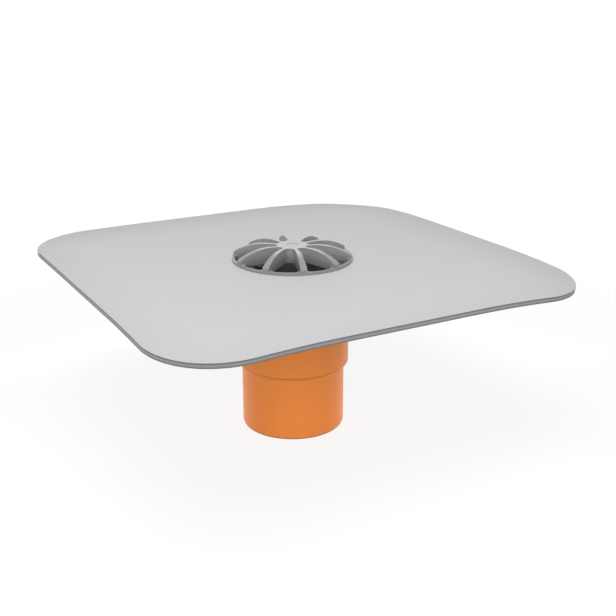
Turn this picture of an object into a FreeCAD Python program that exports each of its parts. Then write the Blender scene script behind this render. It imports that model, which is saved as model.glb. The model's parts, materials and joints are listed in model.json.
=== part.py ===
import FreeCAD
import Part
import math
import os
import re
import Sketcher

# A balcony drain, in millimetres, standing on the lower end of its spigot with +Z up. A square
# membrane collar is welded on the flange of a rigid funnel, the funnel's neck plugs into the
# socket of an outlet pipe past a lip seal, and a finned leaf catcher lies over the inlet.

SIZES = {
    # Membrane collar: a thick flexible sheet whose corners hang below its flat middle.
    "collar_size": (450, "side of the square collar"),
    "collar_corner": (73, "radius of the collar's corners in plan"),
    "collar_thickness": (5, "thickness of the collar sheet"),
    "collar_trim": (1, "width cut off each side of the sheet"),
    "droop_front_left": (7.7, "fall of the uncut sheet's corner at -X -Y"),
    "droop_front_right": (9.2, "fall of the uncut sheet's corner at +X -Y"),
    "droop_back_right": (10.5, "fall of the uncut sheet's corner at +X +Y"),
    "droop_back_left": (2.4, "fall of the uncut sheet's corner at -X +Y"),
    "flat_margin": (4, "flat sheet past the flange on the diagonals"),
    # Pipe sizes shared by the funnel's neck and the outlet's spigot.
    "pipe_radius": (55, "outer radius of the pipe"),
    "pipe_wall": (3.2, "wall of the pipe"),
    "bevel_depth": (1, "radial depth of the bevel on a spigot's end"),
    "bevel_length": (3, "length of the bevel on a spigot's end"),
    # Drain funnel.
    "funnel_length": (103.4, "neck's end to the top of the flange"),
    "flange_width": (29.5, "inlet edge to the rim of the flange"),
    "flange_thickness": (4, "thickness of the flange"),
    "flare": (8.7, "widening from the neck's bore to the inlet"),
    "flare_angle": (63, "angle in degrees that the throat turns through in two slopes"),
    # Outlet pipe with its socket.
    "spigot_length": (71.5, "lower end to the top of the shoulder"),
    "socket_clearance": (0.4, "radial play of the neck in the socket"),
    "socket_wall": (4.4, "wall of the socket"),
    "socket_depth": (68, "stop to the socket's mouth"),
    "stop_gap": (3, "room left for expansion below the neck"),
    "mouth_bevel": (1.5, "lead-in at the socket's mouth"),
    "bead_depth": (4.6, "depth of the seal groove"),
    "bead_flat": (7, "width of the seal groove's floor"),
    "bead_offset": (8, "seal groove to the socket's mouth"),
    # Lip seal.
    "seal_clearance": (0.1, "play between the seal and what it touches"),
    "seal_back": (2.2, "thickness of the seal's heel"),
    "lip_height": (3, "height of the lip's contact band"),
    # Leaf catcher.
    "rim_seat": (2.5, "overlap of the rim on the collar"),
    "rim_height": (3, "height of the rim"),
    "foot_setback": (1, "rim's edge to the fins' feet"),
    "foot_height": (7.1, "height of a fin where its foot rounds off"),
    "foot_round": (1, "width of the rounding at the top of a foot"),
    "foot_drop": (1.7, "height of the rounding at the top of a foot"),
    "crown_height": (16, "height of the fins at their highest"),
    "crown_radius": (28, "distance of the highest point from the axis"),
    "hub_height": (15.3, "height of the hub's flat top"),
    "hub_flat": (14, "radius of the hub's flat top"),
    "hub_radius": (16, "where the fins leave the hub"),
    "hub_skin": (3, "thickness of the hub's top"),
    "hub_bore": (12.5, "radius of the hollow under the hub"),
    "gate_radius": (7, "radius of the round recess in the hub"),
    "gate_depth": (0.5, "depth of the round recess in the hub"),
    "fin_count": (10, "number of fins"),
    "fin_hub_width": (3, "thickness of a fin at the hub"),
    "fin_foot_width": (6.8, "thickness of a fin at its foot"),
    "gap_root": (4.7, "radius of the gap's inner end between two fins"),
    "gap_corner": (7, "radius of the gap's outer corners in the rim"),
    "leg_count": (5, "number of locating legs"),
    "leg_length": (18, "length of a leg below the rim"),
    "leg_width": (4, "width of a leg"),
    "leg_depth": (5, "radial depth of a leg"),
    "leg_clearance": (0.5, "play of a leg in the throat"),
}

# Places worked out from the sheet, as expressions over its cells.
BORE = "(pipe_radius - pipe_wall)"
INLET = f"({BORE} + flare)"
FLANGE_RADIUS = f"({INLET} + flange_width)"
SOCKET_BORE = "(pipe_radius + socket_clearance)"
SOCKET_RADIUS = f"({SOCKET_BORE} + socket_wall)"
MITRE = "tan(22.5)"  # an offset 45 degree corner shifts by this share of the wall
SHOULDER_START = f"(spigot_length - {SOCKET_RADIUS} + pipe_radius)"
STOP_START = f"({SHOULDER_START} + pipe_wall * {MITRE})"
STOP = f"({STOP_START} + {SOCKET_BORE} - {BORE})"
MOUTH = f"({STOP} + socket_depth)"
GROOVE_TOP = f"({MOUTH} - bead_offset - bead_depth)"
GROOVE_BOTTOM = f"({GROOVE_TOP} - bead_flat)"
GROOVE_RADIUS = f"({SOCKET_BORE} + bead_depth)"
NECK_END = f"({STOP} + stop_gap)"
COLLAR_TOP = f"({NECK_END} + funnel_length + collar_thickness)"
THROAT_BEND = "(flare / (1 - cos(flare_angle)))"
THROAT_START = f"(funnel_length - {THROAT_BEND} * sin(flare_angle))"
THROAT_KNEE = f"({BORE} + {THROAT_BEND} * (1 - cos(flare_angle / 2)))"
KNEE_HEIGHT = f"({THROAT_START} + {THROAT_BEND} * sin(flare_angle / 2))"
RIM_RADIUS = f"({INLET} + rim_seat)"
FOOT_RADIUS = f"({RIM_RADIUS} - foot_setback)"
TAPER = f"atan((fin_foot_width - fin_hub_width) / 2 / ({FOOT_RADIUS} - hub_radius))"
FLANK_ANGLE = f"(180 / fin_count - {TAPER} / 1 deg)"
FLANK_DISTANCE = f"(fin_hub_width / 2 * cos({TAPER}) - hub_radius * sin({TAPER}))"
GAP_CENTRE = f"((gap_root + {FLANK_DISTANCE}) / sin({FLANK_ANGLE}))"

doc = FreeCAD.newDocument("balcony_drain")
sheet = doc.addObject("Spreadsheet::Sheet", "sizes")
for row, (alias, (number, meaning)) in enumerate(SIZES.items(), start=1):
    sheet.set(f"A{row}", meaning)
    sheet.set(f"B{row}", str(number))
    sheet.setAlias(f"B{row}", alias)
doc.recompute()


def size(expression):
    """Number that an expression over the sheet comes to."""
    return float(sheet.evalExpression(expression))


def bind(item, prop, expression):
    """Tie a property to an expression over the sheet."""
    words = re.split(r"([a-z_]+)", expression)
    item.setExpression(prop, "".join("sizes." + word if word in SIZES else word for word in words))


def new_body(label, height):
    """Body of one piece, lifted to its place on the drain's axis."""
    body = doc.addObject("PartDesign::Body", label)
    bind(body, "Placement.Base.z", height)
    return body


def new_sketch(body, plane, name):
    """Sketch on one of the body's own origin planes."""
    sketch = body.newObject("Sketcher::SketchObject", name)
    support = next(item for item in body.Origin.OriginFeatures if item.Role == plane)
    sketch.AttachmentSupport = [(support, "")]
    sketch.MapMode = "FlatFace"
    return sketch


def dimension(sketch, kind, where, expression):
    """Dimension of a sketch, driven by the sheet."""
    index = sketch.addConstraint(Sketcher.Constraint(kind, *where, size(expression)))
    bind(sketch, f"Constraints[{index}]", expression)


def hold(sketch, geometry, end, across, up):
    """Keep a point of a sketch at a place given by two expressions."""
    dimension(sketch, "DistanceX", (-1, 1, geometry, end), across)
    dimension(sketch, "DistanceY", (-1, 1, geometry, end), up)


def aligned_arc(start, end, kind, tangent_end):
    """Arc between two points, centred level with or straight below the end where it is tangent."""
    here, there = (end, start) if tangent_end == "end" else (start, end)
    across, up = there.x - here.x, there.y - here.y
    if kind == "Vertical":
        centre = here + FreeCAD.Vector(0, (across**2 + up**2) / (2 * up), 0)
    else:
        centre = here + FreeCAD.Vector((across**2 + up**2) / (2 * across), 0, 0)
    circle = Part.Circle(centre, FreeCAD.Vector(0, 0, 1), centre.distanceToPoint(here))
    anticlockwise = (start - centre).cross(end - centre).z > 0
    first, last = (start, end) if anticlockwise else (end, start)
    arc = Part.ArcOfCircle(circle, circle.parameter(first), circle.parameter(last))
    return arc, (1, 2) if anticlockwise else (2, 1)


def outline(sketch, corners, bends=None):
    """Closed outline through corners given as expressions. A bend names the corner where an arc
    starts, the way its centre is aligned and the end it is aligned with."""
    bends = bends or {}
    points = [FreeCAD.Vector(size(across), size(up), 0) for across, up in corners]
    edges = []
    for i, start in enumerate(points):
        end = points[(i + 1) % len(points)]
        if i in bends:
            shape, ends = aligned_arc(start, end, *bends[i])
        else:
            shape, ends = Part.LineSegment(start, end), (1, 2)
        edges.append((sketch.addGeometry(shape), ends))
    for i, (geometry, ends) in enumerate(edges):
        following, following_ends = edges[(i + 1) % len(edges)]
        meeting = (geometry, ends[1], following, following_ends[0])
        sketch.addConstraint(Sketcher.Constraint("Coincident", *meeting))
        hold(sketch, geometry, ends[0], *corners[i])
        if i in bends:
            kind, tangent_end = bends[i]
            tangent = ends[1] if tangent_end == "end" else ends[0]
            sketch.addConstraint(Sketcher.Constraint(kind, geometry, 3, geometry, tangent))


def revolve(body, name, corners, bends=None):
    """Ring turned about the axis from a section in radius and height."""
    sketch = new_sketch(body, "XZ_Plane", name + "_section")
    outline(sketch, corners, bends)
    ring = body.newObject("PartDesign::Revolution", name)
    ring.Profile = sketch
    ring.ReferenceAxis = (sketch, ["V_Axis"])
    ring.Angle = 360
    doc.recompute()
    return ring


def membrane_collar():
    """Square sheet with rounded corners and the inlet's hole, flat where the flange is welded on."""
    half = size("collar_size / 2 + collar_trim")
    flat = size(f"{FLANGE_RADIUS} / sqrt(2) + flat_margin")
    stations = [-half, -(half + flat) / 2, 0, (half + flat) / 2, half]
    droops = {
        (-half, -half): size("droop_front_left"),
        (half, -half): size("droop_front_right"),
        (half, half): size("droop_back_right"),
        (-half, half): size("droop_back_left"),
    }
    poles = [[FreeCAD.Vector(x, y, -droops.get((x, y), 0)) for y in stations] for x in stations]
    knots = [-half, -flat, flat, half]
    repeats = [3, 1, 1, 3]
    bowed = Part.BSplineSurface()
    bowed.buildFromPolesMultsKnots(poles, repeats, repeats, knots, knots, False, False, 2, 2)
    surface = doc.addObject("Part::Feature", "collar_surface")
    surface.Shape = bowed.toShape()

    sheet_blank = doc.addObject("Part::Extrusion", "collar_sheet")
    sheet_blank.Base = surface
    sheet_blank.DirMode = "Custom"
    sheet_blank.Dir = FreeCAD.Vector(0, 0, -1)
    sheet_blank.Solid = True
    bind(sheet_blank, "LengthFwd", "collar_thickness")

    cutter = doc.addObject("PartDesign::Body", "collar_outline")
    plan = new_sketch(cutter, "XY_Plane", "collar_plan")
    side = "collar_size / 2"
    outline(plan, [(f"-{side}", f"-{side}"), (side, f"-{side}"), (side, side), (f"-{side}", side)])
    hole = plan.addGeometry(Part.Circle(FreeCAD.Vector(), FreeCAD.Vector(0, 0, 1), size(INLET)))
    plan.addConstraint(Sketcher.Constraint("Coincident", hole, 3, -1, 1))
    dimension(plan, "Radius", (hole,), INLET)
    block = cutter.newObject("PartDesign::Pad", "collar_block")
    block.Profile = plan
    block.Midplane = True
    bind(block, "Length", "4 * (collar_thickness + droop_back_right + droop_front_right)")
    doc.recompute()
    upright = [i for i, edge in enumerate(block.Shape.Edges, start=1) if is_upright(edge)]
    rounded = cutter.newObject("PartDesign::Fillet", "collar_corners")
    rounded.Base = (block, [f"Edge{i}" for i in upright])
    bind(rounded, "Radius", "collar_corner")

    collar = doc.addObject("Part::Common", "membrane_collar")
    collar.Base = sheet_blank
    collar.Tool = cutter
    bind(collar, "Placement.Base.z", COLLAR_TOP)
    return collar


def is_upright(edge):
    """Whether an edge is a straight line along the axis and away from it."""
    if not isinstance(edge.Curve, Part.Line):
        return False
    return abs(edge.Curve.Direction.z) > 0.999 and edge.CenterOfMass.x**2 > size(INLET) ** 2


def drain_funnel():
    """Moulded funnel: flange under the collar, throat in two slopes, and a neck of the pipe's size."""
    body = new_body("drain_funnel", NECK_END)
    outer_bend = f"({THROAT_BEND} - pipe_wall)"
    outer_knee = f"pipe_radius + {outer_bend} * (1 - cos(flare_angle / 2))"
    outer_knee_height = f"{THROAT_START} + {outer_bend} * sin(flare_angle / 2)"
    under = "(funnel_length - flange_thickness)"
    reach = f"sqrt({outer_bend} ^ 2 - ({under} - {THROAT_START}) ^ 2)"
    revolve(
        body,
        "funnel",
        [
            (INLET, "funnel_length"),
            (THROAT_KNEE, KNEE_HEIGHT),
            (BORE, THROAT_START),
            (BORE, "0"),
            ("pipe_radius - bevel_depth", "0"),
            ("pipe_radius", "bevel_length"),
            ("pipe_radius", THROAT_START),
            (outer_knee, outer_knee_height),
            (f"{BORE} + {THROAT_BEND} - {reach}", under),
            (FLANGE_RADIUS, under),
            (FLANGE_RADIUS, "funnel_length"),
        ],
    )
    return body


def outlet_pipe():
    """Pipe with a plain spigot below and, above a sloping shoulder, a socket with a seal bead."""
    body = new_body("outlet_pipe", "0")
    shift = f"socket_wall * {MITRE}"
    bead_radius = f"({SOCKET_RADIUS} + bead_depth)"
    revolve(
        body,
        "pipe",
        [
            (BORE, "0"),
            ("pipe_radius - bevel_depth", "0"),
            ("pipe_radius", "bevel_length"),
            ("pipe_radius", SHOULDER_START),
            (SOCKET_RADIUS, "spigot_length"),
            (SOCKET_RADIUS, f"{GROOVE_BOTTOM} - bead_depth - {shift}"),
            (bead_radius, f"{GROOVE_BOTTOM} - {shift}"),
            (bead_radius, f"{GROOVE_TOP} + {shift}"),
            (SOCKET_RADIUS, f"{GROOVE_TOP} + bead_depth + {shift}"),
            (SOCKET_RADIUS, MOUTH),
            (f"{SOCKET_BORE} + mouth_bevel", MOUTH),
            (SOCKET_BORE, f"{MOUTH} - 2 * mouth_bevel"),
            (SOCKET_BORE, f"{GROOVE_TOP} + bead_depth"),
            (GROOVE_RADIUS, GROOVE_TOP),
            (GROOVE_RADIUS, GROOVE_BOTTOM),
            (SOCKET_BORE, f"{GROOVE_BOTTOM} - bead_depth"),
            (SOCKET_BORE, STOP),
            (BORE, STOP_START),
        ],
    )
    return body


def lip_seal():
    """Rubber ring that fills the bead's groove and leans a lip on the funnel's neck."""
    body = new_body("lip_seal", GROOVE_BOTTOM)
    heel = f"{GROOVE_RADIUS} - seal_clearance"
    contact = "pipe_radius + seal_clearance"
    revolve(
        body,
        "seal",
        [
            (heel, "0"),
            (heel, "bead_flat"),
            (contact, "bead_flat"),
            (contact, "bead_flat - lip_height"),
            (f"{heel} - seal_back", "0"),
        ],
    )
    return body


def gap_sketch(body, name, outer):
    """Plan of the gap between two fins, about the X axis, out to a given radius. Its sides are
    the fins' flanks, its inner end is a root radius and its outer corners are rounded."""
    sketch = new_sketch(body, "XY_Plane", name)
    bind(sketch, "AttachmentOffset.Base.z", "rim_height")
    angle = math.radians(size(FLANK_ANGLE))
    distance, root, corner, reach = (size(e) for e in (FLANK_DISTANCE, "gap_root", "gap_corner", outer))
    normal = FreeCAD.Vector(0, 0, 1)
    along = FreeCAD.Vector(math.cos(angle), math.sin(angle), 0)
    inward = FreeCAD.Vector(math.sin(angle), -math.cos(angle), 0)
    root_centre = FreeCAD.Vector(size(GAP_CENTRE), 0, 0)
    corner_run = math.sqrt((reach - corner) ** 2 - (distance + corner) ** 2)
    corner_centre = along * corner_run + inward * (distance + corner)
    corner_angle = math.atan2(corner_centre.y, corner_centre.x)
    flank_start = along * (root_centre.x * math.cos(angle)) + inward * distance
    flank_end = along * corner_run + inward * distance

    def mirrored(point):
        return FreeCAD.Vector(point.x, -point.y, 0)

    def arc(centre, radius, start, end):
        return sketch.addGeometry(Part.ArcOfCircle(Part.Circle(centre, normal, radius), start, end))

    turned = math.pi / 2 + angle
    left = sketch.addGeometry(Part.LineSegment(flank_start, flank_end))
    right = sketch.addGeometry(Part.LineSegment(mirrored(flank_start), mirrored(flank_end)))
    root_arc = arc(root_centre, root, turned, 2 * math.pi - turned)
    outer_arc = arc(FreeCAD.Vector(), reach, -corner_angle, corner_angle)
    left_corner = arc(corner_centre, corner, corner_angle, turned)
    right_corner = arc(mirrored(corner_centre), corner, -turned, -corner_angle)

    for joint in (
        (right, 2, right_corner, 1),
        (right_corner, 2, outer_arc, 1),
        (outer_arc, 2, left_corner, 1),
        (left_corner, 2, left, 2),
        (left, 1, root_arc, 1),
        (root_arc, 2, right, 1),
    ):
        sketch.addConstraint(Sketcher.Constraint("Tangent", *joint))
    sketch.addConstraint(Sketcher.Constraint("Coincident", outer_arc, 3, -1, 1))
    dimension(sketch, "Radius", (outer_arc,), outer)
    dimension(sketch, "Radius", (root_arc,), "gap_root")
    dimension(sketch, "Radius", (left_corner,), "gap_corner")
    dimension(sketch, "Radius", (right_corner,), "gap_corner")
    for side, sign in ((left, ""), (right, "-")):
        dimension(sketch, "Distance", (-1, 1, side), FLANK_DISTANCE)
        turn = math.radians(size(sign + FLANK_ANGLE))
        index = sketch.addConstraint(Sketcher.Constraint("Angle", side, turn))
        bind(sketch, f"Constraints[{index}]", f"{sign}{FLANK_ANGLE} * 1 deg")
    return sketch


def pocket(body, name, sketch, upward):
    """Cut through everything above or below a sketch, checked to take material away."""
    before = body.Shape.Volume
    cut = body.newObject("PartDesign::Pocket", name)
    cut.Profile = sketch
    cut.Type = "ThroughAll"
    cut.Reversed = upward
    doc.recompute()
    if not cut.Shape.Volume < before:
        raise RuntimeError(f"{name} cuts nothing")
    return cut


def repeat(body, name, features, sketch, count, angle):
    """Polar pattern of features about the axis over an angle, as the body's last step."""
    pattern = body.newObject("PartDesign::PolarPattern", name)
    pattern.Originals = features
    pattern.Axis = (sketch, ["N_Axis"])
    bind(pattern, "Angle", angle)
    bind(pattern, "Occurrences", count)
    body.Tip = pattern
    doc.recompute()
    return pattern


def radial_pad(body, name, width, corners, bends=None):
    """Slab on the middle plane of the first fin, from a section in radius and height."""
    section = new_sketch(body, "XZ_Plane", name + "_section")
    turn = FreeCAD.Rotation(FreeCAD.Vector(0, 1, 0), 0)
    section.AttachmentOffset = FreeCAD.Placement(FreeCAD.Vector(), turn)
    bind(section, "AttachmentOffset.Rotation.Angle", "180 / fin_count")
    outline(section, corners, bends)
    slab = body.newObject("PartDesign::Pad", name)
    slab.Profile = section
    slab.Midplane = True
    bind(slab, "Length", width)
    doc.recompute()
    return slab


def leaf_catcher():
    """Low dome of radial fins on a thin rim, with a hollow hub and legs that reach into the throat."""
    body = new_body("leaf_catcher", COLLAR_TOP)
    body.Placement.Rotation = FreeCAD.Rotation(FreeCAD.Vector(0, 0, 1), 0)
    bind(body, "Placement.Rotation.Angle", "180 / fin_count")
    revolve(
        body,
        "hub_and_plate",
        [
            ("0", "hub_height - hub_skin"),
            ("hub_bore", "hub_height - hub_skin"),
            ("hub_bore", "0"),
            (RIM_RADIUS, "0"),
            (RIM_RADIUS, "rim_height"),
            (GAP_CENTRE, "rim_height"),
            (GAP_CENTRE, "hub_height"),
            ("gate_radius", "hub_height"),
            ("gate_radius", "hub_height - gate_depth"),
            ("0", "hub_height - gate_depth"),
        ],
    )
    fin = radial_pad(
        body,
        "fin",
        "fin_foot_width",
        [
            ("hub_flat", "hub_height"),
            ("crown_radius", "crown_height"),
            (f"{FOOT_RADIUS} - foot_round", "foot_height"),
            (FOOT_RADIUS, "foot_height - foot_drop"),
            (FOOT_RADIUS, "rim_height / 2"),
            ("hub_flat", "rim_height / 2"),
        ],
        {1: ("Vertical", "start"), 2: ("Horizontal", "end")},
    )
    above = gap_sketch(body, "gap_above_rim", f"({RIM_RADIUS} + gap_corner)")
    through = gap_sketch(body, "gap_through_rim", INLET)
    repeat(body, "fins", [fin], through, "fin_count", "360")
    upper = pocket(body, "gap_above", above, True)
    lower = pocket(body, "gap_through", through, False)
    repeat(body, "gaps", [upper, lower], through, "fin_count", "360")

    leg_back = f"{BORE} - leg_clearance - leg_depth"
    knee = f"{KNEE_HEIGHT} - funnel_length - collar_thickness"
    leg_face = f"{THROAT_KNEE} - leg_clearance"
    leg_end = f"{leg_face} - (leg_length + {knee}) * tan(flare_angle / 4)"
    leg = radial_pad(
        body,
        "leg",
        "leg_width",
        [
            (leg_back, "0"),
            (leg_back, "-leg_length"),
            (leg_end, "-leg_length"),
            (leg_face, knee),
            (leg_face, "0"),
        ],
    )
    fins_between = "floor(fin_count / leg_count)"
    repeat(body, "legs", [leg], through, "leg_count", f"360 / fin_count * {fins_between} * (leg_count - 1)")
    return body


def main():
    """Build every piece, check it, and write it as a file named after it."""
    pieces = [membrane_collar(), drain_funnel(), outlet_pipe(), lip_seal(), leaf_catcher()]
    doc.recompute()
    failed = [item.Name for item in doc.Objects if {"Invalid", "Error"} & set(item.State)]
    if failed:
        raise RuntimeError(f"failed objects: {failed}")
    for piece in pieces:
        if piece.Shape.isNull() or not piece.Shape.isValid() or len(piece.Shape.Solids) != 1:
            raise RuntimeError(f"{piece.Label} is not one valid solid")
    os.makedirs("parts", exist_ok=True)
    for piece in pieces:
        piece.Shape.exportStep(os.path.join("parts", piece.Label + ".step"))
        box = piece.Shape.BoundBox
        print(f"{piece.Label}: {piece.Shape.Volume:.0f} mm3, z {box.ZMin:.2f} to {box.ZMax:.2f}")


main()
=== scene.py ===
import json
import math

import bmesh
import bpy
from bpy.props import FloatProperty, FloatVectorProperty, IntProperty, PointerProperty
from bpy.types import Operator, Panel, PropertyGroup
from mathutils import Matrix, Vector


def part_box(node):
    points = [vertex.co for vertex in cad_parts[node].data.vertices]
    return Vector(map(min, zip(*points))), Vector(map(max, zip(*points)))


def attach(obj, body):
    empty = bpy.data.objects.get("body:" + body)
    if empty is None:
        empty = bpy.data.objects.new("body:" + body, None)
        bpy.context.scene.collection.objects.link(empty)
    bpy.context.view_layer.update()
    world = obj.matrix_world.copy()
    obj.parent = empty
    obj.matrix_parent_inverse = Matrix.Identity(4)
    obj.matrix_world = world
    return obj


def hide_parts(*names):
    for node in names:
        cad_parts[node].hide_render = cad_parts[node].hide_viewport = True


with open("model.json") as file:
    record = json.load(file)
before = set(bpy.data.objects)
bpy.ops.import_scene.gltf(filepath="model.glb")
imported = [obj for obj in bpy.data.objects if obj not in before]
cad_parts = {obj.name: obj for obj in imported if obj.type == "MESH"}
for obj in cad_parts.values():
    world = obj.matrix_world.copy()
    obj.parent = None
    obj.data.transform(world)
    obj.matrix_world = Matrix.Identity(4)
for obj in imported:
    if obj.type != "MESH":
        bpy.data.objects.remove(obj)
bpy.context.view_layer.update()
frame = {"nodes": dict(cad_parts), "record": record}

bl_info = {
    "name": "Balcony Drain Finishes",
    "version": (1, 0, 0),
    "blender": (4, 5, 0),
    "location": "3D View > Sidebar > Drain",
    "description": "Collar sheet, surface finishes and a plain studio for a balcony drain",
    "category": "Object",
}

DRAIN = frame["nodes"]
SLOT_COLOUR = {m["slot"]: tuple(m["base_color"]) for m in frame["record"]["materials"]}
COLLAR_LOW, COLLAR_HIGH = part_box("membrane_collar")
WHITE = (1.0, 1.0, 1.0, 1.0)
JOIN_DISTANCE = 0.00001  # corners of a CAD mesh nearer than this are one corner
EDGE_STEPS = 3
CORNER_STEPS = 24
SIDE_CUTS = 39
CUT_SHARP = math.radians(40)  # the sheet's edges that turn by more are rounded
CUT_ROUNDING = 0.0003
CUT_STEPS = 2
TILT_FADE = (0.3, 0.7)  # upward share of a normal, from an upright face to a level one
MIDDLE_FADE = (-0.001, 0.001)  # across the sheet's middle lines, where its fall is nothing
SKIN_FADE = (0.0009, 0.0017)  # out from the middle of the sheet's thickness
CREASE_FADE = (0.0008, 0.0022)  # up and down from the pipe's crease
END_FADE = (0.0008, 0.0024)  # up from the pipe's end
SCUFF_FADE = (0.62, 0.75)
SLOPE_FADE = (0.033, 0.047)  # out from the axis, where the fins start to fall
FIN_TOP_FADE = (0.3, 0.6)  # upward share of a normal, from a fin's flank to its top
SHADOW_FADE = (0.3, 1.2)  # out from the axis, over which the floor turns white
SHADOW_HIDDEN = 0.85  # share of the drain's shadow that is hidden near it
FLOOR_REACH = 12.0
FLOOR_LIT = (0.45, 0.45, 0.45, 1.0)
FLOOR_SEEN = (0.95, 0.95, 0.95, 1.0)
FLOOR_GLOW = 1.04
SENSOR_WIDTH = 36.0
VIEW_RANGE = (0.05, 50.0)
KEY_LAMP = {"place": (-0.3, -0.4, 1.35), "aim": (0.0, 0.0, 0.18), "size": (1.1, 1.1)}
LOW_LAMP = {"aim": (0.0, 0.0, 0.012), "size": (0.3, 0.02), "spread": math.radians(62)}
LOW_LAMPS = {
    "low_lamp_left": (-0.42, -0.126, 0.012),
    "low_lamp_right": (0.118, -0.393, 0.012),
    "low_lamp_back_right": (0.42, 0.126, 0.012),
    "low_lamp_back_left": (-0.118, 0.393, 0.012),
}


class Graded:
    """A value that changes over a surface. Arithmetic on it adds Math nodes to its shading."""

    def __init__(self, shading, socket):
        self.shading = shading
        self.socket = socket

    def worked(self, operation, *values):
        inputs = dict(enumerate(values))
        return self.shading.node("ShaderNodeMath", {"operation": operation}, inputs)

    def __add__(self, other):
        return self.worked("ADD", self, other)

    __radd__ = __add__

    def __sub__(self, other):
        return self.worked("SUBTRACT", self, other)

    def __rsub__(self, other):
        return self.worked("SUBTRACT", other, self)

    def __mul__(self, other):
        return self.worked("MULTIPLY", self, other)

    __rmul__ = __mul__

    def __abs__(self):
        return self.worked("ABSOLUTE", self)

    def sine(self):
        return self.worked("SINE", self)

    def most(self, other):
        """The larger of two values."""
        return self.worked("MAXIMUM", self, other)

    def between(self, low, high):
        """0 below low, 1 above high, with a soft step between."""
        limits = {"Value": self, "From Min": low, "From Max": high, "To Min": 0.0, "To Max": 1.0}
        return self.shading.node("ShaderNodeMapRange", {"interpolation_type": "SMOOTHSTEP"}, limits)


class Shading:
    """The nodes of a finish or of the sky, made one at a time."""

    def __init__(self, owner):
        owner.use_nodes = True
        self.tree = owner.node_tree
        self.tree.nodes.clear()

    def node(self, kind, settings=None, inputs=None, output=0):
        """Add a node: its settings first, then the values or links of its sockets."""
        made = self.tree.nodes.new(kind)
        for name, value in (settings or {}).items():
            setattr(made, name, value)
        for key, value in (inputs or {}).items():
            if isinstance(value, Graded):
                self.tree.links.new(value.socket, made.inputs[key])
            else:
                made.inputs[key].default_value = value
        return None if output is None else Graded(self, made.outputs[output])

    def outputs(self, value):
        """Every output, by its name, of the node that a value comes from."""
        return {socket.name: Graded(self, socket) for socket in value.socket.node.outputs}

    def place(self):
        """Object coordinates."""
        return self.node("ShaderNodeTexCoord", {}, {}, "Object")

    def length(self, vector):
        """Length of a vector."""
        return self.node("ShaderNodeVectorMath", {"operation": "LENGTH"}, {0: vector}, "Value")

    def mixed(self, amount, first, second):
        """Colour between two others."""
        inputs = {0: amount, 6: first, 7: second}
        return self.node("ShaderNodeMix", {"data_type": "RGBA"}, inputs, 2)

    def seen(self):
        """1 where the camera looks, straight, in a shine or through glass, and 0 for light."""
        rays = self.outputs(self.node("ShaderNodeLightPath"))
        shine = rays["Is Camera Ray"].most(rays["Is Glossy Ray"])
        return shine.most(rays["Is Transmission Ray"])


class Finish(Shading):
    """The surface of one piece of the drain, built on a Principled shader."""

    def __init__(self, name, specular):
        self.material = bpy.data.materials.new(name)
        super().__init__(self.material)
        constants = {"Specular IOR Level": specular}
        self.surface = self.node("ShaderNodeBsdfPrincipled", {}, constants)
        self.node("ShaderNodeOutputMaterial", {}, {"Surface": self.surface}, None)
        self.here = self.place()

    def axes(self, vector):
        """The three components of a vector."""
        return list(self.outputs(self.node("ShaderNodeSeparateXYZ", {}, {0: vector})).values())

    def facing(self):
        """How far a face looks up, from -1 to 1."""
        return self.axes(self.node("ShaderNodeTexCoord", {}, {}, "Normal"))[2]

    def stretched(self, x, y, z):
        """Object coordinates scaled along each axis."""
        return self.node("ShaderNodeMapping", {}, {"Vector": self.here, "Scale": (x, y, z)})

    def grain(self, size, detail, vector=None):
        """Noise with features of about a size in metres."""
        values = {"Vector": vector or self.here, "Scale": 1.0 / size, "Detail": detail}
        return self.node("ShaderNodeTexNoise", {}, values)

    def raised(self, height, distance, strength, below=None):
        """Relief on top of any finer relief given below."""
        values = {"Height": height, "Distance": distance, "Strength": strength}
        if below is not None:
            values["Normal"] = below
        return self.node("ShaderNodeBump", {}, values, "Normal")

    def feed(self, **sockets):
        """Link values to the shader, with underscores for the spaces in its sockets' names."""
        shader = self.surface.socket.node
        for name, value in sockets.items():
            self.tree.links.new(value.socket, shader.inputs[name.replace("_", " ")])

    def dress(self, piece):
        """Put the finish on a piece in place of what it came with."""
        piece.data.materials.clear()
        piece.data.materials.append(self.material)


def tone(colour, share):
    """A colour made lighter or darker, as a node's four numbers."""
    return tuple(min(1.0, channel * share) for channel in colour) + (1.0,)


def soften_edges(piece, width, sharp):
    """Round a piece's edges, where they turn by more than some degrees, with modifiers that leave
    its own mesh alone."""
    weld = piece.modifiers.new("joined_faces", "WELD")
    weld.merge_threshold = JOIN_DISTANCE
    edge = piece.modifiers.new("soft_edges", "BEVEL")
    edge.limit_method = "ANGLE"
    edge.angle_limit = math.radians(sharp)
    edge.width = width
    edge.segments = EDGE_STEPS
    edge.profile = 0.5
    edge.miter_outer = "MITER_ARC"
    smooth = piece.modifiers.new("smooth_faces", "WEIGHTED_NORMAL")
    smooth.mode = "FACE_AREA"
    smooth.weight = 50


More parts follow.
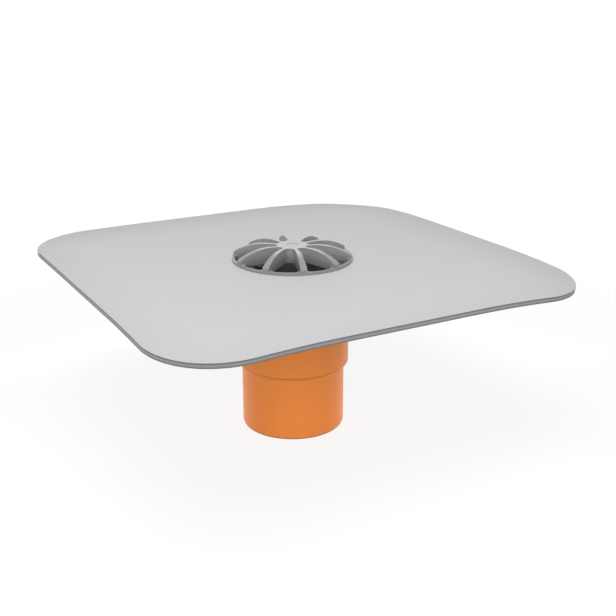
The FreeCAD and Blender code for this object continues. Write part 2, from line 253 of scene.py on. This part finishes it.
class DrainSheetLook(PropertyGroup):
    """Membrane collar."""

    side: FloatProperty(
        name="Side",
        description="Side of the square sheet",
        subtype="DISTANCE",
        unit="LENGTH",
        default=COLLAR_HIGH[0] - COLLAR_LOW[0],
    )
    corner: FloatProperty(
        name="Corner Radius",
        description="Radius of the sheet's corners in plan",
        subtype="DISTANCE",
        unit="LENGTH",
        default=0.073,
    )
    inlet: FloatProperty(
        name="Inlet Radius",
        description="Radius of the hole over the funnel",
        subtype="DISTANCE",
        unit="LENGTH",
        default=0.0605,
    )
    thickness: FloatProperty(
        name="Thickness",
        description="Thickness of the sheet",
        subtype="DISTANCE",
        unit="LENGTH",
        default=0.005,
    )
    flat: FloatProperty(
        name="Flat Middle",
        description="Distance from the axis at which the sheet starts to hang",
        subtype="DISTANCE",
        unit="LENGTH",
        default=0.0676,
    )
    droop: FloatVectorProperty(
        name="Corner Droop",
        description="Fall of the corners at -X -Y, +X -Y, -X +Y and +X +Y",
        subtype="NONE",
        unit="LENGTH",
        size=4,
        default=(0.0077, 0.0092, 0.0024, 0.0105),
    )
    border: FloatProperty(
        name="Soft Border",
        description="Width of the border that falls off softly to the cut edge",
        subtype="DISTANCE",
        unit="LENGTH",
        min=0.001,
        default=0.07,
    )
    border_slope: FloatProperty(
        name="Border Slope",
        description="Slope of the soft border's relief at the cut edge",
        subtype="ANGLE",
        unit="ROTATION",
        default=math.radians(20),
    )
    rings: IntProperty(
        name="Rings",
        description="Divisions of the sheet from its hole to its border",
        min=4,
        default=40,
    )
    top: FloatVectorProperty(
        name="Top Colour",
        description="Colour of the sheet's weathering side",
        subtype="COLOR",
        size=3,
        min=0.0,
        max=1.0,
        default=SLOT_COLOUR["collar_sheet"],
    )
    core: FloatVectorProperty(
        name="Core Colour",
        description="Colour of the sheet's cut edge and underside",
        subtype="COLOR",
        size=3,
        min=0.0,
        max=1.0,
        default=(0.57, 0.57, 0.58),
    )
    pitch: FloatProperty(
        name="Emboss Pitch",
        description="Distance between two bumps of the embossing",
        subtype="DISTANCE",
        unit="LENGTH",
        min=0.0005,
        default=0.0032,
    )
    relief: FloatProperty(
        name="Emboss Relief",
        description="Depth of the embossing",
        subtype="DISTANCE",
        unit="LENGTH",
        min=0.0,
        default=0.0001,
    )


class DrainPipeLook(PropertyGroup):
    """Outlet pipe."""

    colour: FloatVectorProperty(
        name="Pipe Colour",
        description="Colour of the outlet pipe",
        subtype="COLOR",
        size=3,
        min=0.0,
        max=1.0,
        default=SLOT_COLOUR["orange_pipe"],
    )
    edge: FloatProperty(
        name="Edge Rounding",
        description="Rounding of the shoulder and of the seal bead",
        subtype="DISTANCE",
        unit="LENGTH",
        min=0.0,
        default=0.0008,
    )
    # painted shade: height of a dark band in the pipe's colour at the crease under the socket,
    # standing in for its shadow
    crease_shade: FloatProperty(
        name="Crease Height",
        description="Height of the dark crease at the foot of the socket",
        subtype="DISTANCE",
        unit="LENGTH",
        default=0.0707,
    )


class DrainCatcherLook(PropertyGroup):
    """Leaf catcher."""

    colour: FloatVectorProperty(
        name="Catcher Colour",
        description="Colour of the leaf catcher",
        subtype="COLOR",
        size=3,
        min=0.0,
        max=1.0,
        default=SLOT_COLOUR["catcher_plastic"],
    )
    edge: FloatProperty(
        name="Edge Rounding",
        description="Rounding of the fins, the hub and the rim",
        subtype="DISTANCE",
        unit="LENGTH",
        min=0.0,
        default=0.0005,
    )
    height: FloatProperty(
        name="Height",
        description="Height of the fins above the collar",
        subtype="DISTANCE",
        unit="LENGTH",
        min=0.0,
        default=0.016,
    )


class DrainHiddenLook(PropertyGroup):
    """Funnel and lip seal."""

    funnel: FloatVectorProperty(
        name="Funnel Colour",
        description="Colour of the drain funnel",
        subtype="COLOR",
        size=3,
        min=0.0,
        max=1.0,
        default=SLOT_COLOUR["funnel_plastic"],
    )
    edge: FloatProperty(
        name="Edge Rounding",
        description="Rounding of the funnel's edges",
        subtype="DISTANCE",
        unit="LENGTH",
        min=0.0,
        default=0.0006,
    )
    seal: FloatVectorProperty(
        name="Seal Colour",
        description="Colour of the lip seal",
        subtype="COLOR",
        size=3,
        min=0.0,
        max=1.0,
        default=SLOT_COLOUR["seal_rubber"],
    )


class DrainStudio(PropertyGroup):
    """Camera, floor and light."""

    azimuth: FloatProperty(
        name="Azimuth",
        description="Turn of the camera about the drain's axis",
        subtype="ANGLE",
        unit="ROTATION",
        default=math.radians(-29.46),
    )
    elevation: FloatProperty(
        name="Elevation",
        description="Height of the camera above the horizon",
        subtype="ANGLE",
        unit="ROTATION",
        default=math.radians(18.95),
    )
    distance: FloatProperty(
        name="Distance",
        description="Distance from the camera to the point it is aimed at",
        subtype="DISTANCE",
        unit="LENGTH",
        default=1.01252,
    )
    aim: FloatVectorProperty(
        name="Aim",
        description="Point in the middle of the picture",
        subtype="TRANSLATION",
        unit="LENGTH",
        size=3,
        default=(0.00596, -0.02266, 0.13411),
    )
    lens: FloatProperty(
        name="Lens",
        description="Focal length of the camera",
        unit="CAMERA",
        default=56.49,
    )
    sky: FloatProperty(
        name="Sky Light",
        description="Strength of the even light from all round",
        subtype="FACTOR",
        min=0.0,
        default=0.28,
    )
    key: FloatProperty(
        name="Key Lamp",
        description="Power of the lamp above the collar",
        subtype="POWER",
        unit="POWER",
        min=0.0,
        default=14.7,
    )
    low: FloatProperty(
        name="Low Lamp",
        description="Power of each lamp round the outlet pipe",
        subtype="POWER",
        unit="POWER",
        min=0.0,
        default=0.132,
    )


class DRAIN_OT_collar(Operator):
    """Make the membrane collar as a limp, embossed sheet with a grey core."""

    bl_idname = "drain.collar"
    bl_label = "Membrane Collar"

    def execute(self, context):
        look = context.scene.drain_sheet
        shape = self.cut_sheet(look)
        for corner in shape.verts:
            corner.co.z = COLLAR_HIGH[2] - self.fall(look, corner.co.x, corner.co.y)
        mesh = bpy.data.meshes.new("collar_sheet")
        shape.to_mesh(mesh)
        shape.free()
        sheet = bpy.data.objects.new("collar_sheet", mesh)
        context.scene.collection.objects.link(sheet)
        self.thicken(sheet, look)
        self.finish_of(look).dress(sheet)
        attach(sheet, "root")
        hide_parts("membrane_collar")
        return {"FINISHED"}

    def cut_sheet(self, look):
        """Flat sheet with rounded corners, divided in rings round the inlet's hole."""
        shape = bmesh.new()
        bmesh.ops.create_grid(shape, x_segments=1, y_segments=1, size=look.side / 2)
        bmesh.ops.bevel(
            shape,
            geom=shape.verts[:],
            offset=look.corner,
            offset_type="OFFSET",
            affect="VERTICES",
            segments=CORNER_STEPS,
            profile=0.5,
            material=-1,
        )
        bmesh.ops.delete(shape, geom=shape.faces[:], context="FACES_ONLY")
        sides = [edge for edge in shape.edges if edge.calc_length() > look.corner]
        bmesh.ops.subdivide_edges(shape, edges=sides, cuts=SIDE_CUTS)
        bmesh.ops.create_circle(shape, cap_ends=False, segments=len(shape.edges), radius=look.inlet)
        spokes = bmesh.ops.bridge_loops(shape, edges=shape.edges[:])["edges"]
        bmesh.ops.subdivide_edges(shape, edges=spokes, cuts=look.rings - 1, use_grid_fill=True)
        if shape.faces[:][0].normal.z < 0:
            bmesh.ops.reverse_faces(shape, faces=shape.faces[:])
        for face in shape.faces:
            face.smooth = True
        return shape

    def fall(self, look, x, y):
        """How far the sheet hangs below its flat middle."""
        half = look.side / 2
        across = max(0.0, (abs(x) - look.flat) / (half - look.flat))
        along = max(0.0, (abs(y) - look.flat) / (half - look.flat))
        return look.droop[2 * (y > 0) + (x > 0)] * (across * along) ** 2

    def depth(self, look, x, y, z):
        """Distance below the sheet's hanging upper face, for its finish."""
        reach = 1.0 / (look.side / 2 - look.flat)
        across = ((abs(x) - look.flat) * reach).most(0.0)
        along = ((abs(y) - look.flat) * reach).most(0.0)
        right, back = x.between(*MIDDLE_FADE), y.between(*MIDDLE_FADE)
        near = look.droop[0] + (look.droop[1] - look.droop[0]) * right
        far = look.droop[2] + (look.droop[3] - look.droop[2]) * right
        corner = across * along
        return COLLAR_HIGH[2] - (near + (far - near) * back) * corner * corner - z

    def thicken(self, sheet, look):
        """Give the sheet its thickness below the top and take the sharpness off its cut edges."""
        wall = sheet.modifiers.new("thickness", "SOLIDIFY")
        wall.thickness = look.thickness
        wall.offset = -1.0
        edge = sheet.modifiers.new("cut_edges", "BEVEL")
        edge.limit_method = "ANGLE"
        edge.angle_limit = CUT_SHARP
        edge.width = CUT_ROUNDING
        edge.segments = CUT_STEPS
        edge.profile = 0.5
        edge.harden_normals = True

    def finish_of(self, look):
        """Pale embossed face, with painted shade in the emboss hollows, over a grey core that shows
        at the cut edge, between two darker skins, and below."""
        sheet = Finish("collar_sheet", specular=0.35)
        x, y, z = sheet.axes(sheet.here)
        facing = sheet.facing()
        turns = math.sqrt(2.0) * math.pi / look.pitch
        bumps = ((x + y) * turns).sine() * ((x - y) * turns).sine()
        upper = facing.between(*TILT_FADE)
        cloud = sheet.grain(size=0.09, detail=3.0)
        speckle = sheet.grain(size=0.0012, detail=2.0)
        pale = sheet.mixed(cloud, tone(look.top, 0.98), tone(look.top, 1.02))
        # painted shade: the hollows of the embossing are painted darker
        pale = sheet.mixed(bumps.between(-1.0, 0.5), tone(look.top, 0.88), pale)
        core = sheet.mixed(speckle, tone(look.core, 0.9), tone(look.core, 1.1))
        skin = abs(self.depth(look, x, y, z) - look.thickness / 2).between(*SKIN_FADE)
        cut = 1.0 - abs(facing).between(*TILT_FADE)
        core = sheet.mixed(skin * cut, core, tone(look.core, 0.5))
        start = look.side / 2 - look.border
        across = (abs(x) - start).most(0.0)
        along = (abs(y) - start).most(0.0)
        steepness = math.tan(look.border_slope) / (2.0 * look.border)
        roll = (across * across + along * along) * upper * -steepness
        pores = sheet.grain(size=0.0004, detail=2.0)
        fine = sheet.raised(pores, distance=0.00002, strength=0.5)
        bent = sheet.raised(roll, distance=1.0, strength=1.0, below=fine)
        sheet.feed(
            Base_Color=sheet.mixed(upper, core, pale),
            Roughness=0.46 + 0.12 * cloud + 0.06 * bumps,
            Normal=sheet.raised(bumps * upper, look.relief, strength=1.0, below=bent),
        )
        return sheet


class DRAIN_OT_pipe(Operator):
    """Finish the outlet pipe in satin orange with faint drawing streaks along it."""

    bl_idname = "drain.pipe"
    bl_label = "Outlet Pipe"

    def execute(self, context):
        look = context.scene.drain_pipe
        pipe = Finish("orange_pipe", specular=0.35)
        streaks = pipe.grain(0.0016, 3.0, pipe.stretched(1.0, 1.0, 0.012))
        cloud = pipe.grain(size=0.045, detail=3.0)
        scuffs = pipe.grain(0.004, 4.0, pipe.stretched(1.0, 1.0, 0.2)).between(*SCUFF_FADE)
        colour = pipe.mixed(streaks, tone(look.colour, 0.96), tone(look.colour, 1.04))
        colour = pipe.mixed(cloud * 0.4, colour, tone(look.colour, 1.06))
        colour = pipe.mixed(scuffs * 0.1, colour, tone(look.colour, 1.2))
        height = pipe.axes(pipe.here)[2]
        # painted shade: the crease under the socket is painted darker where its shadow falls
        crease_shade = 1.0 - abs(height - look.crease_shade).between(*CREASE_FADE)
        # painted shadow: the pipe's colour is darkened just above its end, where it stands on the
        # floor
        end_shade = 1.0 - height.between(*END_FADE)
        colour = pipe.mixed(crease_shade, colour, tone(look.colour, 0.74))
        colour = pipe.mixed(end_shade, colour, tone(look.colour, 0.5))
        pipe.feed(
            Base_Color=colour,
            Roughness=0.34 + 0.1 * cloud + 0.08 * scuffs,
            Normal=pipe.raised(streaks, distance=0.00004, strength=0.35),
        )
        pipe.dress(DRAIN["outlet_pipe"])
        soften_edges(DRAIN["outlet_pipe"], look.edge, sharp=30)
        return {"FINISHED"}


class DRAIN_OT_catcher(Operator):
    """Finish the leaf catcher as a grey moulding with soft edges, with painted shade that darkens
    it towards its foot and on the falling tops of its fins.
    """

    bl_idname = "drain.catcher"
    bl_label = "Leaf Catcher"

    def execute(self, context):
        look = context.scene.drain_catcher
        catcher = Finish("catcher_plastic", specular=0.5)
        cloud = catcher.grain(size=0.012, detail=3.0)
        spark = catcher.grain(size=0.0003, detail=2.0)
        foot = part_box("leaf_catcher")[1][2] - look.height
        # painted shade: the catcher's colour darkens towards its foot and rim, where shade falls
        # between the fins
        above_low_shade = catcher.axes(catcher.here)[2].between(foot, foot + 0.75 * look.height)
        colour = catcher.mixed(cloud, tone(look.colour, 1.1), tone(look.colour, 1.2))
        low_shade_colour = catcher.mixed(cloud, tone(look.colour, 0.72), tone(look.colour, 0.82))
        colour = catcher.mixed(above_low_shade, low_shade_colour, colour)
        # painted shade: the tops of the fins are painted darker where they fall away from the
        # crown, as if turned from the light
        slope = catcher.length(catcher.stretched(1.0, 1.0, 0.0)).between(*SLOPE_FADE)
        slope_shade = slope * catcher.facing().between(*FIN_TOP_FADE)
        catcher.feed(
            Base_Color=catcher.mixed(slope_shade, colour, tone(look.colour, 0.7)),
            Roughness=0.24 + 0.1 * cloud,
            Normal=catcher.raised(spark, distance=0.00003, strength=0.4),
        )
        catcher.dress(DRAIN["leaf_catcher"])
        soften_edges(DRAIN["leaf_catcher"], look.edge, sharp=28)
        return {"FINISHED"}


class DRAIN_OT_hidden(Operator):
    """Finish the funnel as a dark grey moulding and the lip seal as matt rubber."""

    bl_idname = "drain.hidden"
    bl_label = "Funnel and Seal"

    def execute(self, context):
        look = context.scene.drain_hidden
        funnel = Finish("funnel_plastic", specular=0.45)
        cloud = funnel.grain(size=0.03, detail=3.0)
        spark = funnel.grain(size=0.0004, detail=2.0)
        funnel.feed(
            Base_Color=funnel.mixed(cloud, tone(look.funnel, 0.92), tone(look.funnel, 1.08)),
            Roughness=0.4 + 0.12 * cloud,
            Normal=funnel.raised(spark, distance=0.00004, strength=0.4),
        )
        funnel.dress(DRAIN["drain_funnel"])
        soften_edges(DRAIN["drain_funnel"], look.edge, sharp=40)

        seal = Finish("seal_rubber", specular=0.35)
        bloom = seal.grain(size=0.006, detail=4.0)
        pores = seal.grain(size=0.0005, detail=2.0)
        seal.feed(
            Base_Color=seal.mixed(bloom, tone(look.seal, 0.8), tone(look.seal, 1.6)),
            Roughness=0.5 + 0.2 * bloom,
            Normal=seal.raised(pores, distance=0.00005, strength=0.5),
        )
        seal.dress(DRAIN["lip_seal"])
        return {"FINISHED"}


class DRAIN_OT_studio(Operator):
    """Set up the pale floor, the soft light and the camera."""

    bl_idname = "drain.studio"
    bl_label = "Studio"

    def execute(self, context):
        studio = context.scene.drain_studio
        scene = context.scene
        scene.view_settings.view_transform = "Standard"
        self.hang_sky(scene, studio)
        self.lay_floor(scene)
        self.hang_lamp(scene, "key_lamp", studio.key, **KEY_LAMP)
        for name, place in LOW_LAMPS.items():
            self.hang_lamp(scene, name, studio.low, place, **LOW_LAMP)
        self.stand_camera(scene, studio)
        return {"FINISHED"}

    def hang_sky(self, scene, studio):
        """Even light that is plain white where it is seen."""
        scene.world = bpy.data.worlds.new("studio_sky")
        sky = Shading(scene.world)
        strength = studio.sky + (1.0 - studio.sky) * sky.seen()
        light = sky.node("ShaderNodeBackground", {}, {"Color": WHITE, "Strength": strength})
        sky.node("ShaderNodeOutputWorld", {}, {"Surface": light}, None)

    def lay_floor(self, scene):
        """Pale floor that keeps a faint shadow of the drain near it and is white further off."""
        shape = bmesh.new()
        bmesh.ops.create_grid(shape, x_segments=1, y_segments=1, size=FLOOR_REACH)
        mesh = bpy.data.meshes.new("studio_floor")
        shape.to_mesh(mesh)
        shape.free()
        floor = bpy.data.objects.new("studio_floor", mesh)
        scene.collection.objects.link(floor)

        paint = bpy.data.materials.new("floor_paint")
        mesh.materials.append(paint)
        cover = Shading(paint)
        seen = cover.seen()
        away = cover.length(cover.place()).between(*SHADOW_FADE)
        glow = seen * (SHADOW_HIDDEN + (1.0 - SHADOW_HIDDEN) * away)
        colour = cover.mixed(seen, FLOOR_LIT, FLOOR_SEEN)
        matt = cover.node("ShaderNodeBsdfDiffuse", {}, {"Color": colour})
        white = cover.node("ShaderNodeEmission", {}, {"Color": WHITE, "Strength": FLOOR_GLOW})
        both = cover.node("ShaderNodeMixShader", {}, {0: glow, 1: matt, 2: white})
        cover.node("ShaderNodeOutputMaterial", {}, {"Surface": both}, None)

    def hang_lamp(self, scene, name, power, place, aim, size, spread=math.pi):
        """Soft rectangular lamp, itself out of sight, turned to a point."""
        data = bpy.data.lights.new(name, "AREA")
        data.shape = "RECTANGLE"
        data.size, data.size_y = size
        data.energy = power
        data.spread = spread
        lamp = bpy.data.objects.new(name, data)
        scene.collection.objects.link(lamp)
        lamp.location = place
        lamp.rotation_euler = (Vector(aim) - Vector(place)).to_track_quat("-Z", "Y").to_euler()
        lamp.visible_camera = False
        lamp.visible_glossy = False

    def stand_camera(self, scene, studio):
        """Camera at the picture's angle, level from side to side."""
        data = bpy.data.cameras.new("studio_camera")
        data.sensor_width = SENSOR_WIDTH
        data.lens = studio.lens
        data.clip_start, data.clip_end = VIEW_RANGE
        turn, rise = studio.azimuth, studio.elevation
        level = Vector((math.sin(turn), -math.cos(turn), 0.0)) * math.cos(rise)
        back = level + Vector((0.0, 0.0, math.sin(rise)))
        right = Vector((math.cos(turn), math.sin(turn), 0.0))
        up = back.cross(right)
        camera = bpy.data.objects.new("studio_camera", data)
        scene.collection.objects.link(camera)
        stand = Matrix((right, up, back)).transposed().to_4x4()
        stand.translation = Vector(studio.aim) + back * studio.distance
        camera.matrix_world = stand
        scene.camera = camera


class DRAIN_PT_finishes(Panel):
    """Lists the drain's pieces and what can be changed on them."""

    bl_idname = "DRAIN_PT_finishes"
    bl_label = "Balcony Drain"
    bl_space_type = "VIEW_3D"
    bl_region_type = "UI"
    bl_category = "Drain"

    def draw(self, context):
        for look, (kind, operator) in LOOKS.items():
            box = self.layout.box()
            settings = getattr(context.scene, look)
            for name in kind.__annotations__:
                box.prop(settings, name)
            box.operator(operator)


LOOKS = {
    "drain_sheet": (DrainSheetLook, "drain.collar"),
    "drain_pipe": (DrainPipeLook, "drain.pipe"),
    "drain_catcher": (DrainCatcherLook, "drain.catcher"),
    "drain_hidden": (DrainHiddenLook, "drain.hidden"),
    "drain_studio": (DrainStudio, "drain.studio"),
}

CLASSES = (
    DrainSheetLook,
    DrainPipeLook,
    DrainCatcherLook,
    DrainHiddenLook,
    DrainStudio,
    DRAIN_OT_collar,
    DRAIN_OT_pipe,
    DRAIN_OT_catcher,
    DRAIN_OT_hidden,
    DRAIN_OT_studio,
    DRAIN_PT_finishes,
)


def register():
    for part in CLASSES:
        bpy.utils.register_class(part)
    for name, (kind, operator) in LOOKS.items():
        setattr(bpy.types.Scene, name, PointerProperty(type=kind))


def unregister():
    for name in LOOKS:
        delattr(bpy.types.Scene, name)
    for part in reversed(CLASSES):
        bpy.utils.unregister_class(part)


def main():
    register()
    bpy.ops.drain.collar()
    bpy.ops.drain.pipe()
    bpy.ops.drain.catcher()
    bpy.ops.drain.hidden()
    bpy.ops.drain.studio()


if __name__ == "__main__":
    main()
